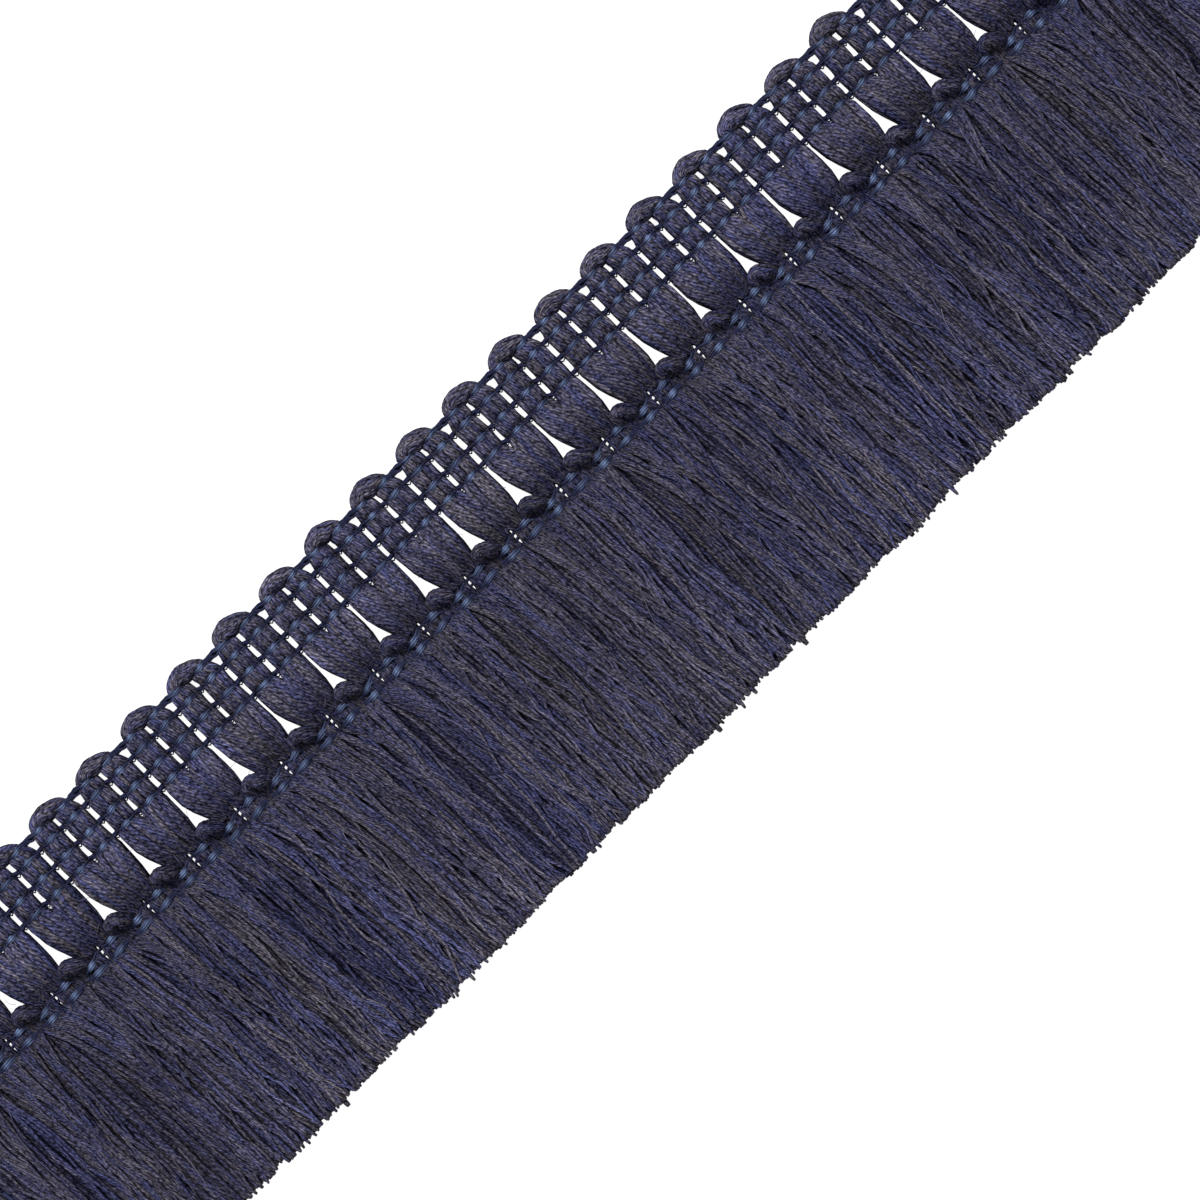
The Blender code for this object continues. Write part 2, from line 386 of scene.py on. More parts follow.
def loop_centres(first, last, shift):
    """Where the centre lines of these loops lie along the trim, given for each of their yarns."""
    return np.repeat((np.arange(first, last) + shift) * PITCH - LENGTH / 2, BUNDLE)


def place(paths, centres):
    """Paths given as (sideways, down, height) moved to their loops' centres along the trim."""
    x = centres[:, None] + drift(paths[..., 1]) + paths[..., 0]
    return np.stack([x, TOP_EDGE - paths[..., 1], paths[..., 2]], axis=-1)


def waves(rng, count, length, reach, steps=4):
    """A slow wander for each yarn along its length, as a function of distance along it."""
    wave = rng.uniform(length, 3 * length, (steps, count, 1))
    phase = rng.uniform(0, 2 * math.pi, (steps, count, 1))
    size = rng.uniform(0.4, 1.0, (steps, count, 1)) * reach / steps**0.5

    def at(distance):
        return (size * np.sin(2 * math.pi * distance / wave + phase)).sum(0)

    return at


# Waves, as the shortest length and the reach (millimetres): the sway of a whole scallop loop, the
# sway and lift of each of its yarns, and the wander and lift of each yarn in the skirt
LOOP_SWAY = (6.0, 0.08)
YARN_SWAY = (7.0, 0.06)
YARN_LIFT = (6.0, 0.07)
SKIRT_WANDER = (7.0, 0.56)
SKIRT_LIFT = (8.0, 0.22)

LOCK_WIDTH = 1.45  # millimetres of yarn that hang as one lock
LOCK_SETTLE = 8.5  # millimetres below the band in which a lock has mostly fallen to its side
GIVE_LENGTH = 9.0  # millimetres below the band in which the yarns come loose
SHORTENED = (6.0, 39.0)  # millimetres below the band between which a yarn is drawn up to its cut
YARN_LEAN = math.radians(1.25)  # how far single yarns usually lean in their lock

# Sideways pull of the skirt's clumps: a wavelength along the trim, one down it (millimetres),
# a share of the clumping and a phase
CLUMPS = [
    (4.3, 61.0, 0.60, 0.3),
    (6.9, -83.0, 0.80, 1.9),
    (11.7, 74.0, 0.90, 4.1),
    (23.0, -120.0, 0.90, 5.2),
    (2.9, 47.0, 0.45, 2.2),
]


def cut_short(root, skirt, rng):
    """How far short of the trim's full width each yarn is cut; a few stand a little past it."""
    wave = 0.24 * np.sin(root / 2.3 + 1.0) + 0.20 * np.sin(root / 0.87) + 0.16 * np.sin(root / 7.1)
    short = 0.60 + wave + rng.uniform(-0.11, 0.11, root.shape)
    past = rng.random(root.shape) < 0.012
    return skirt.ragged / MM * np.where(past, rng.uniform(-0.7, -0.2, root.shape), short)


def hang(paths, deep, skirt, rng):
    """Lets the yarns below the band fall in locks, draw together and wander, the top ones most.

    Gives the new paths, the painted light and shade of their points with each lock's own
    brightness, and how far their locks lean to navy.
    """
    x, y, z = paths[..., 0], paths[..., 1], paths[..., 2]
    count = len(paths)
    free = np.clip(TOP_EDGE - y - BAND_EDGE, 0, None)
    give = 1 - np.exp(-free / GIVE_LENGTH)
    loose = np.interp(deep, *LOOSE)[:, None]
    band = np.abs(TOP_EDGE - y[0] - BAND_EDGE).argmin()
    root = x[:, band : band + 1]

    # A lock's own traits, as normal numbers; neighbouring locks fall much alike
    lock = ((root + LENGTH) / LOCK_WIDTH + rng.uniform(-0.2, 0.2, root.shape)).astype(int)
    traits = rng.normal(0.0, 1.0, (6, lock.max() + 1))
    traits[0] = 1.25 * np.convolve(traits[0], (0.41, 0.82, 0.41), "same")
    fall, pace, lift, glow, hue, cut = traits[:, lock]
    settled = 1 - np.exp(-free / (LOCK_SETTLE + 3.0 * np.abs(pace)))
    side = skirt.locks / MM * (0.8 + fall) * settled
    x = x + np.interp(deep, *FALL_SHARE)[:, None] * side
    z = z + give * loose * np.clip(0.16 + 0.16 * lift, -0.1, 0.5)

    # Clumps draw together; each yarn wanders and leans by itself, one in ten of them far
    for along, down, share, phase in CLUMPS:
        wave = np.sin(2 * math.pi * (root / along + free / down) + phase)
        x = x + skirt.clumping / MM * share * give * loose * wave
        z = z + 0.2 * share * give * np.cos(2 * math.pi * (root / along - free / down) + phase)
    x = x + give * loose * waves(rng, count, *SKIRT_WANDER)(free)
    z = z + give * waves(rng, count, *SKIRT_LIFT)(free)
    own = rng.normal(0.0, 1.0, (count, 1)) * np.where(rng.random((count, 1)) < 0.10, 4.0, 1.1)
    x = x + free * np.tan(skirt.lean + YARN_LEAN * loose**2 * own)
    short = np.clip(cut_short(root, skirt, rng) + 0.16 * cut, -0.6, 1.6)
    y = y + np.interp(free, SHORTENED, (0, 1)) * short

    # The last millimetre falls towards the table; painted light makes its cut ends paler against
    # the shade of their downturned faces, and they are tinted greyer
    left = free.max(1, keepdims=True) - free
    z = z - 0.35 * np.clip(1 - left / 1.2, 0, 1) ** 2 * np.clip(z - 0.4, 0, None)
    tip = np.clip(2.2 * (1 - left), 0, 1)
    # Painted light and shade down the skirt, times each lock's own brightness
    light = np.interp(free, *SKIRT_LIGHT) * np.clip(1 + 0.16 * glow * give, 0.6, 1.5)
    return np.stack([x, y, z], axis=-1), light * (1 + 0.30 * tip), 0.26 * hue * give - 0.5 * tip


# ---------------------------------------------------------------- meshes


def unit(vectors):
    """The same directions, each with a length of one."""
    return vectors / np.maximum(np.linalg.norm(vectors, axis=-1, keepdims=True), 1e-9)


def winding_map(along):
    """Turns round a tube and millimetres along it, at each corner of its sides and its ends."""
    count, points = along.shape
    turns = np.arange(SIDES) / SIDES
    u = np.stack([turns, turns, turns + 1 / SIDES, turns + 1 / SIDES], axis=-1)
    u = np.broadcast_to(u, (count, points - 1, SIDES, 4))
    v0, v1 = along[:, :-1, None], along[:, 1:, None]
    v = np.broadcast_to(np.stack(np.broadcast_arrays(v0, v1, v1, v0), axis=-1), u.shape)
    first = np.stack(np.broadcast_arrays(turns, along[:, :1]), axis=-1)
    last = np.stack(np.broadcast_arrays(turns[::-1], along[:, -1:]), axis=-1)
    return np.concatenate([part.reshape(-1, 2) for part in (np.stack([u, v], -1), first, last)])


def tubes(name, paths, widths, values):
    """One mesh of closed tubes round the paths (yarn, point, xyz), all in millimetres.

    values are numbers kept for the material: one for each yarn, or one for each of its points.
    The map "winding" holds turns round the tube and millimetres along it.
    """
    count, points = paths.shape[:2]
    tangent = unit(np.gradient(paths, axis=1))
    side = unit(np.cross(tangent, (0.0, 0.0, 1.0)))
    lift = np.cross(side, tangent)
    angle = 2 * math.pi * np.arange(SIDES) / SIDES - math.pi / 2
    ring = side[:, :, None] * np.cos(angle)[:, None] + lift[:, :, None] * np.sin(angle)[:, None]
    radius = np.broadcast_to(widths / 2, (count, points))
    shell = paths[:, :, None] + radius[:, :, None, None] * ring
    shell[..., 2] = np.maximum(shell[..., 2], TABLE_GAP)

    here = np.arange(count * points * SIDES).reshape(count, points, SIDES)
    there = np.roll(here, -1, axis=2)
    sides = np.stack([here[:, :-1], here[:, 1:], there[:, 1:], there[:, :-1]], axis=-1)
    first, last = here[:, 0], here[:, -1, ::-1]
    faces = sides.reshape(-1, 4).tolist() + first.tolist() + last.tolist()
    mesh = bpy.data.meshes.new(name)
    mesh.from_pydata((shell.reshape(-1, 3) * MM).tolist(), [], faces)

    along = np.cumsum(np.linalg.norm(np.diff(paths, axis=1, prepend=paths[:, :1]), axis=2), axis=1)
    winding = mesh.uv_layers.new(name="winding")
    winding.uv.foreach_set("vector", winding_map(along).ravel().astype(np.float32))
    for key, value in values.items():
        value = value[:, None] if value.ndim == 1 else value
        value = np.broadcast_to(value, (count, points))
        attribute = mesh.attributes.new(key, "FLOAT", "POINT")
        attribute.data.foreach_set("value", np.repeat(value.ravel(), SIDES).astype(np.float32))
    mesh.shade_smooth()
    mesh.validate()
    obj = bpy.data.objects.new(name, mesh)
    bpy.context.scene.collection.objects.link(obj)
    return obj


def fit_out(piece, node, material):
    """Puts a finish on a piece, hangs it from the root body and hides the solid it stands for."""
    piece.data.materials.append(material)
    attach(piece, "root")
    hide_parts(node)


def yarn_widths(paths, deep, yarn):
    """Yarns bloom where they are free; those at the face part into finer ends there."""
    down = TOP_EDGE - paths[..., 1]
    skirt = np.clip((down - BAND_EDGE) / 4.0, 0, 1)
    puff = np.clip(1 - ((down - 16.0) / 5.0) ** 4, 0, 1)
    finer = np.interp(deep, *FINER_IN_SKIRT)[:, None] * skirt
    finer = finer + np.interp(deep, *FINER_IN_PUFF)[:, None] * puff
    # The last half millimetre of a cut end tapers
    tip = np.clip((down - down.max(1, keepdims=True) + 0.5) / 0.5, 0, 1) * (down > 60)
    share = np.interp(down, *BLOOM) * (1 - finer) * (1 - 0.22 * tip)
    return yarn.width / MM * share


def painted_thread_shade(paths, lines):
    """Painted shade: how much light the yarn keeps at each point, less where threads squeeze it.
    """
    down = TOP_EDGE - paths[..., 1]
    keep = np.ones(down.shape)
    for line in lines:
        keep -= line.press * np.exp(-(((down - line.down - SHADE_BELOW) / SHADE_REACH) ** 2))
    return keep


def yarn_values(rng, deep):
    """Each yarn's share of navy, its brightness (random, with painted shade deeper in), and its
    twist start.
    """
    count = len(deep)
    return {
        "navy": rng.normal(0.54, 0.24, count),
        "shade": np.interp(deep, *DEPTH_SHADE) * np.clip(rng.normal(1.0, 0.15, count), 0.5, 1.5),
        "twist_start": rng.uniform(0, 100, count),
    }


# ---------------------------------------------------------------- materials


def add(tree, kind, inputs=(), **settings):
    """Adds a node with its settings and its inputs, by name or number or in their order.

    An input is a plain value, a node's output, or a node that stands for its first output.
    """
    node = tree.nodes.new(kind)
    for key, value in settings.items():
        setattr(node, key, value)
    for key, value in inputs.items() if isinstance(inputs, dict) else enumerate(inputs):
        if isinstance(value, bpy.types.Node):
            value = value.outputs[0]
        if isinstance(value, bpy.types.NodeSocket):
            tree.links.new(value, node.inputs[key])
        else:
            node.inputs[key].default_value = value
    return node


def new_material(name):
    """An empty material of this name, and its tree of nodes."""
    material = bpy.data.materials.new(name)
    material.use_nodes = True
    tree = material.node_tree
    tree.nodes.clear()
    return material, tree


def twisted(tree, strands, turn):
    """How many strands lie between the seam and a point of the winding map, and more of the map.

    Gives that number, the millimetres along, the yarn's own start and the turns round it.
    """
    winding = add(tree, "ShaderNodeUVMap", uv_map="winding")
    around, along, _ = add(tree, "ShaderNodeSeparateXYZ", [winding]).outputs
    start = add(tree, "ShaderNodeAttribute", attribute_name="twist_start").outputs["Fac"]
    strand = add(tree, "ShaderNodeMath", [around, float(strands)], operation="MULTIPLY")
    slant = add(tree, "ShaderNodeMath", [along, -strands * MM / turn], operation="MULTIPLY")
    phase = add(tree, "ShaderNodeMath", [strand, slant], operation="ADD")
    phase = add(tree, "ShaderNodeMath", [phase, start], operation="ADD")
    return phase, along, start, around


YARN_ENDS = 5  # fine ends that show in one yarn
THREAD_STRANDS = 2
THREAD_TURN = 2.6 * MM  # length in which a thread's strands go once round it


def heather_yarn(yarn):
    """Spun viscose, a soft low twist of fine ends in blended navy and charcoal fibre.

    The ends give fine grains, slightly slanting, with painted shade in the creases between them;
    the blend gives streaks of two colours; the loose fibres give a matte face, without any mirror
    reflection at its rims, and painted shade darkens its flanks.
    """
    name = "spun_viscose_low_twist_heather"
    if name in bpy.data.materials:
        return bpy.data.materials[name]
    material, tree = new_material(name)
    phase, along, start, around = twisted(tree, YARN_ENDS, yarn.turn)
    crest = add(tree, "ShaderNodeMath", [phase, 0.5], operation="PINGPONG")
    crest = add(tree, "ShaderNodeMath", [crest, 2.0], operation="MULTIPLY")
    # A number between 0 and 1 for each end, far apart for ends side by side
    end = add(tree, "ShaderNodeMath", [phase], operation="FLOOR")
    end = add(tree, "ShaderNodeMath", [end, 0.382], operation="MULTIPLY")
    end = add(tree, "ShaderNodeMath", [end], operation="FRACT")

    # Light and dark grains follow the ends: about 0.3 mm wide and 0.7 mm long
    across = add(tree, "ShaderNodeMath", [phase, 1.3], operation="MULTIPLY")
    lengthways = add(tree, "ShaderNodeMath", [along, 2.0], operation="MULTIPLY")
    spot = add(tree, "ShaderNodeCombineXYZ", [across, lengthways, start])
    grain = add(tree, "ShaderNodeTexNoise", {"Vector": spot, "Scale": 1.0, "Detail": 2.0})
    tint = add(tree, "ShaderNodeSeparateColor", [grain.outputs["Color"]]).outputs[1]
    # The blend changes slowly, over some 12 mm of yarn
    slow = add(tree, "ShaderNodeMath", [along, 0.14], operation="MULTIPLY")
    slow = add(tree, "ShaderNodeCombineXYZ", [slow, start])
    slow = add(tree, "ShaderNodeTexNoise", {"Vector": slow, "Scale": 1.0, "Detail": 1.0})
    blend = add(tree, "ShaderNodeAttribute", attribute_name="navy").outputs["Fac"]
    for part, reach in ((slow, 1.4), (tint, 1.8), (end, 0.4)):
        part = add(tree, "ShaderNodeMath", [part, reach, -reach / 2], operation="MULTIPLY_ADD")
        blend = add(tree, "ShaderNodeMath", [blend, part], operation="ADD")
    # The mix node has a set of sockets for each kind of value, so its colours go by number
    colour = add(
        tree,
        "ShaderNodeMix",
        {0: blend, 6: list(yarn.charcoal), 7: list(yarn.navy)},
        data_type="RGBA",
        clamp_factor=True,
    ).outputs[2]

    # Painted shade: the top of each yarn is painted lit and its flanks, which lie against others,
    # are painted dark; the lit top wanders from side to side, for a soft yarn is never quite round
    wander = add(tree, "ShaderNodeMath", [along, 0.35], operation="MULTIPLY")
    wander = add(tree, "ShaderNodeCombineXYZ", [wander, 0.0, start])
    wander = add(tree, "ShaderNodeTexNoise", {"Vector": wander, "Scale": 1.0, "Detail": 1.0})
    wander = add(tree, "ShaderNodeMath", [wander, 0.6, -0.3], operation="MULTIPLY_ADD")
    flank_shade = add(tree, "ShaderNodeMath", [around, wander], operation="ADD")
    flank_shade = add(tree, "ShaderNodeMath", [flank_shade, 2 * math.pi], operation="MULTIPLY")
    flank_shade = add(tree, "ShaderNodeMath", [flank_shade], operation="COSINE")
    flank_shade = add(tree, "ShaderNodeMath", [flank_shade, -1.0], operation="MULTIPLY")
    flank_shade = add(tree, "ShaderNodeMath", [flank_shade, 0.0], operation="MAXIMUM")
    flank_shade = add(tree, "ShaderNodeMath", [flank_shade, 0.50, 0.50], operation="MULTIPLY_ADD")
    # Painted shade in the creases between the ends
    crease_shade = add(tree, "ShaderNodeMath", [crest, 0.74, 0.26], operation="MULTIPLY_ADD")
    ranges = {"From Min": 0.34, "From Max": 0.66, "To Min": 0.20, "To Max": 1.85}
    fleck = add(tree, "ShaderNodeMapRange", {"Value": grain, **ranges})
    # The colour is scaled by this painted shade, the grain's flecks and the shade attribute's
    # brightness with its painted light and shade
    light = add(tree, "ShaderNodeAttribute", attribute_name="shade").outputs["Fac"]
    for part in (crease_shade, flank_shade, fleck):
        light = add(tree, "ShaderNodeMath", [light, part], operation="MULTIPLY")
    lit = add(tree, "ShaderNodeVectorMath", {0: colour, "Scale": light}, operation="SCALE")
    height = add(tree, "ShaderNodeMath", [grain, 0.6, crest], operation="MULTIPLY_ADD")
    bump = add(tree, "ShaderNodeBump", {"Height": height, "Strength": 1.0, "Distance": 0.06 * MM})
    shader = add(
        tree,
        "ShaderNodeBsdfPrincipled",
        {
            "Base Color": lit,
            "Roughness": 0.65,
            "IOR": 1.5,
            "Specular IOR Level": 0.0,
            "Normal": bump,
        },
    )
    add(tree, "ShaderNodeOutputMaterial", {"Surface": shader})
    return material


def lustrous_thread(thread):
    """Filament rayon thread, tightly twisted and dyed navy.

    Its slate blue highlight where the thread rides over a bundle is a painted highlight, and
    the nearly black navy elsewhere is painted shade; its smooth filaments add a faint sheen.
    """
    name = "filament_rayon_thread"
    if name in bpy.data.materials:
        return bpy.data.materials[name]
    material, tree = new_material(name)
    phase, *_ = twisted(tree, THREAD_STRANDS, THREAD_TURN)
    ridge = add(tree, "ShaderNodeMath", [phase, 0.5], operation="PINGPONG")
    ridge = add(tree, "ShaderNodeMath", [ridge, 2.0], operation="MULTIPLY")
    # Painted light and shade: the colour runs from the shadow colour to the highlight colour as
    # the shade attribute's painted light rises, broken by the strands' ridges
    shade = add(tree, "ShaderNodeAttribute", attribute_name="shade").outputs["Fac"]
    light = add(tree, "ShaderNodeMath", [ridge, 0.5, 0.5], operation="MULTIPLY_ADD")
    light = add(tree, "ShaderNodeMath", [light, shade], operation="MULTIPLY")
    lit = add(
        tree,
        "ShaderNodeMix",
        {0: light, 6: list(thread.shadow), 7: list(thread.colour)},
        data_type="RGBA",
        clamp_factor=True,
    ).outputs[2]
    bump = add(tree, "ShaderNodeBump", {"Height": ridge, "Strength": 0.6, "Distance": 0.05 * MM})
    shader = add(
        tree,
        "ShaderNodeBsdfPrincipled",
        {
            "Base Color": lit,
            "Roughness": 0.45,
            "IOR": 1.53,
            "Specular IOR Level": 0.04,
            "Normal": bump,
        },
    )
    add(tree, "ShaderNodeOutputMaterial", {"Surface": shader})
    return material


def loose_fibre(yarn):
    """Single viscose fibres worked loose from the yarn.

    Each lies clear of the others and catches more light than the yarn's close fibres do, painted
    into its colour as painted light.
    """
    name = "loose_viscose_fibre"
    if name in bpy.data.materials:
        return bpy.data.materials[name]
    material, tree = new_material(name)
    navy = add(tree, "ShaderNodeAttribute", attribute_name="navy").outputs["Fac"]
    shade = add(tree, "ShaderNodeAttribute", attribute_name="shade").outputs["Fac"]
    colour = add(
        tree,
        "ShaderNodeMix",
        {0: navy, 6: list(yarn.charcoal), 7: list(yarn.navy)},
        data_type="RGBA",
    ).outputs[2]
    # Painted light: a little lighter than the yarn
    light = add(tree, "ShaderNodeMath", [shade, 1.15], operation="MULTIPLY")
    lit = add(tree, "ShaderNodeVectorMath", {0: colour, "Scale": light}, operation="SCALE")
    shader = add(
        tree,
        "ShaderNodeBsdfPrincipled",
        {"Base Color": lit, "Roughness": 0.5, "IOR": 1.5, "Specular IOR Level": 0.1},
    )
    add(tree, "ShaderNodeOutputMaterial", {"Surface": shader})
    return material


def white_table():
    """Opal acrylic lit from behind, as on a light table: an even white without shadows."""
    material, tree = new_material("opal_acrylic_table")
    shader = add(
        tree,
        "ShaderNodeBsdfPrincipled",
        {
            "Base Color": linear("#707070"),
            "Roughness": 0.9,
            "Specular IOR Level": 0.0,
            "Emission Color": linear("#ffffff"),
            "Emission Strength": 0.97,
        },
    )
    add(tree, "ShaderNodeOutputMaterial", {"Surface": shader})
    return material


# ---------------------------------------------------------------- pieces


def halves(count):
    """The trim's loops as two runs, so that no mesh is too heavy: (name, first, last)."""
    middle = count // 2
    return [("left", 0, middle), ("right", middle, count)]


PUFF_TOP = 11.3  # distance down at which the puffs start
PUFF_DEPTH = 10.0  # millimetres from there to the tie band


def uneven(paths, rng, loop_count):
    """Makes no two scallops quite alike: their crests and the sway of their puffs differ."""
    foot = SCALLOP_LEG[0].down
    crest = np.repeat(rng.uniform(0.86, 1.08, loop_count), BUNDLE)[:, None]
    sway = np.repeat(rng.uniform(-0.16, 0.16, loop_count), BUNDLE)[:, None]
    swell = np.repeat(rng.uniform(0.97, 1.04, loop_count), BUNDLE)[:, None]
    down = paths[..., 1]
    puff = np.sin(math.pi * np.clip((down - PUFF_TOP) / PUFF_DEPTH, 0, 1))
    paths[..., 0] = paths[..., 0] * (1 + (swell - 1) * puff) + sway * puff
    paths[..., 1] = np.where(down < foot, foot - (foot - down) * crest, down)


class FRINGE_OT_scallops(bpy.types.Operator):
    """Winds the bundles that make the scallops, the columns and the puffs"""

    bl_idname = "fringe.scallops"
    bl_label = "Scalloped loops"

    def execute(self, context):
        yarn = context.scene.fringe_yarn
        at = np.array([row.down for row in SCALLOP_LEG])
        for name, first, last in halves(REPEATS):
            rng = np.random.default_rng(11 + first)
            loop_count = last - first
            across, deep = places_in_bundle(rng, loop_count)
            paths = loops(SCALLOP_LEG, SCALLOP_TURN, at, across, deep)
            uneven(paths, rng, loop_count)
            paths = place(paths, loop_centres(first, last, 0.5))
            length = np.linspace(0, 60, paths.shape[1])  # millimetres, near enough for waves
            count = len(paths)
            sway = waves(rng, loop_count, *LOOP_SWAY)(length)
            paths[..., 0] += np.repeat(sway, BUNDLE, axis=0)
            paths[..., 0] += waves(rng, count, *YARN_SWAY)(length)
            paths[..., 2] += waves(rng, count, *YARN_LIFT)(length)
            values = yarn_values(rng, deep)
            down = TOP_EDGE - paths[..., 1]
            # Painted shade near the lines of thread, and painted light and shade down the heading
            keep = painted_thread_shade(paths, HEADING_LINES + BAND_LINES) * np.interp(down, *HEADING_LIGHT)
            values["shade"] = values["shade"][:, None] * keep
            # The scallops' crests show a little more of the charcoal
            values["navy"] = values["navy"][:, None] - 0.2 * np.clip(3.0 - down, 0, 1)
            widths = yarn_widths(paths, deep, yarn)
            piece = tubes(f"scalloped_loops_{name}", paths, widths, values)
            fit_out(piece, "heading", heather_yarn(yarn))
        return {"FINISHED"}


# Distances down at which the yarns under the band and in the skirt are worked out
BAND = [22.7, 23.4, 24.0, 24.5, 25.2, 26.3, 28.0]
SKIRT = [*np.linspace(30.0, 61.5, 11), 63.0, 63.5, 64.0]


class FRINGE_OT_knuckles(bpy.types.Operator):
    """Winds the short bundles, whose knuckles stand on the tie band and whose ends are cut"""

    bl_idname = "fringe.knuckles"
    bl_label = "Knuckle loops and their cut ends"

    def execute(self, context):
        yarn, skirt = context.scene.fringe_yarn, context.scene.fringe_skirt
        at = np.array([21.00, 21.60, 22.20, *BAND, *SKIRT])
        for name, first, last in halves(REPEATS - 1):
            rng = np.random.default_rng(211 + first)
            across, deep = places_in_bundle(rng, last - first)
            paths = loops(KNUCKLE_LEG, KNUCKLE_TURN, at, across, deep)
            paths = place(paths, loop_centres(first, last, 1.0))
            hung = [hang(half, deep, skirt, rng) for half in np.split(paths, 2, axis=1)]
            paths, light, navy = (np.concatenate(parts, axis=1) for parts in zip(*hung))
            values = yarn_values(rng, deep)
            values["navy"] = values["navy"][:, None] + navy
            # A thread presses on the left foot of each knuckle, so painted shade darkens it there,
            # but its right foot stands free
            keep = painted_thread_shade(paths, BAND_LINES[1:])
            middle = paths.shape[1] // 2
            keep[:, :middle] = painted_thread_shade(paths[:, :middle], BAND_LINES)
            values["shade"] = values["shade"][:, None] * light * keep
            widths = yarn_widths(paths, deep, yarn)
            piece = tubes(f"knuckle_loops_{name}", paths, widths, values)
            fit_out(piece, "skirt", heather_yarn(yarn))
        return {"FINISHED"}


class FRINGE_OT_skirt(bpy.types.Operator):
    """Hangs the cut ends of the scallops' bundles below the tie band"""

    bl_idname = "fringe.skirt"
    bl_label = "Cut ends of the scalloped loops"

    def execute(self, context):
        yarn, skirt = context.scene.fringe_yarn, context.scene.fringe_skirt
        at = np.array([21.45, 21.75, 22.2, *BAND, *SKIRT])
        for name, first, last in halves(REPEATS):
            rng = np.random.default_rng(411 + first)
            runs, depths = [], []
            for side in (-1.0, 1.0):
                across, deep = places_in_bundle(rng, last - first)
                ends = leg(LONG_END, at, across, deep, side)
                runs.append(place(ends, loop_centres(first, last, 0.5)))
                depths.append(deep)
            # The short bundle at this end of the trim has no knuckle to turn into
            outside = -1.0 if name == "left" else 1.0
            across, deep = places_in_bundle(rng, 1)
            ends = leg(KNUCKLE_LEG, at, across, deep, -outside)
            runs.append(place(ends, np.full(BUNDLE, outside * LENGTH / 2)))
            depths.append(deep)
            deep = np.concatenate(depths)
            paths, light, navy = hang(np.concatenate(runs), deep, skirt, rng)
            values = yarn_values(rng, deep)
            values["navy"] = values["navy"][:, None] + navy
            # Painted shade near the band's lines of thread, on top of the painted light from hang
            values["shade"] = values["shade"][:, None] * light * painted_thread_shade(paths, BAND_LINES)
            widths = yarn_widths(paths, deep, yarn)
            piece = tubes(f"skirt_yarns_{name}", paths, widths, values)
            fit_out(piece, "skirt", heather_yarn(yarn))
        return {"FINISHED"}


# Shares of a column at which a thread has points, closest in the gaps between the columns
THREAD_STEPS = np.array([0.0, 0.06, 0.13, 0.34, 0.50, 0.66, 0.87, 0.94])
THREAD_INSET = 0.3  # millimetres from a thread's cut end to the end of the trim


def thread_paths(line, width, rng):
    """The threads of a line, their widths and the painted light and shade on them.

    They slant where they pass over, and only the tops of their humps stand clear of the fibres;
    a painted highlight lies on those tops, with painted shade elsewhere.
    """
    columns = round(LENGTH / COLUMN)
    x = ((np.arange(columns)[:, None] + THREAD_STEPS) * COLUMN).ravel()[2:-2] - LENGTH / 2
    end = LENGTH / 2 - THREAD_INSET
    x = np.concatenate([[-end], x + drift(line.down), [end]])
    angle = np.pi * ((x - drift(line.down)) / COLUMN + columns)
    sagged = line.down + line.sag * (0.5 + 0.5 * np.sin(angle))
    column = (angle / np.pi).astype(int)
    swing, travel = np.sin(angle), np.cos(angle)
    hump = np.sign(swing) * np.abs(swing) ** 1.15
    gap = np.interp(np.abs(swing), (0.0, 0.4, 0.8), (1.0, 1.0, 0.0))
    # A stray leaves the others in the middle of the gap alone, which makes a small round eye
    eye = np.interp(np.abs(swing), (0.0, 0.19, 0.4, 0.8), (1.0, 0.55, 0.32, 0.0))
    slant = rng.normal(0.24, 0.12, 2 * columns)[column]
    glint = rng.uniform(0.7, 1.3, 2 * columns)[column]
    ahead = rng.uniform(-0.25, 0.25, 2 * columns)[column]
    paths, widths, shades = [], [], []
    for thread, stray in enumerate(line.strays):
        sign = 1.0 if thread < len(BESIDE) else -1.0
        beside = BESIDE[thread % len(BESIDE)]
        over = np.clip(sign * swing, 0, 1)
        alone = stray == LONE_STRAY
        down = sagged + (beside + slant * sign * travel) * over + stray * (eye if alone else gap)
        down = down + waves(rng, 1, 13.0, 0.05)(x[None])[0]
        height = line.height + line.swing * sign * hump - 0.3 * abs(beside) * over
        paths.append(np.stack([x, TOP_EDGE - down, np.maximum(height, 0.2)], axis=-1))
        thin = 0.40 if alone else 0.0
        widths.append(width * (1 - thin * gap))
        # The painted highlight is a short dash on top of each hump
        lit = np.clip(sign * np.sin(angle + ahead), 0, 1) ** (24 + 14 * abs(beside))
        shades.append(glint * lit * (1 - 0.6 * abs(beside)))
    return paths, widths, shades


def weave_threads(name, lines, node, thread, seed):
    """One piece of all the threads of these lines."""
    rng = np.random.default_rng(seed)
    runs = [thread_paths(line, thread.width / MM, rng) for line in lines]
    paths, widths, shades = (np.concatenate(part) for part in zip(*runs))
    values = {"twist_start": rng.uniform(0, 100, len(paths)), "shade": shades}
    piece = tubes(name, paths, widths, values)
    fit_out(piece, node, lustrous_thread(thread))


class FRINGE_OT_threads(bpy.types.Operator):
    """Weaves the fine threads across the heading and along the tie band"""

    bl_idname = "fringe.threads"
    bl_label = "Woven threads"

    def execute(self, context):
        thread = context.scene.fringe_thread
        weave_threads("heading_threads", HEADING_LINES, "heading", thread, 31)
        weave_threads("band_threads", BAND_LINES, "skirt", thread, 37)
        return {"FINISHED"}


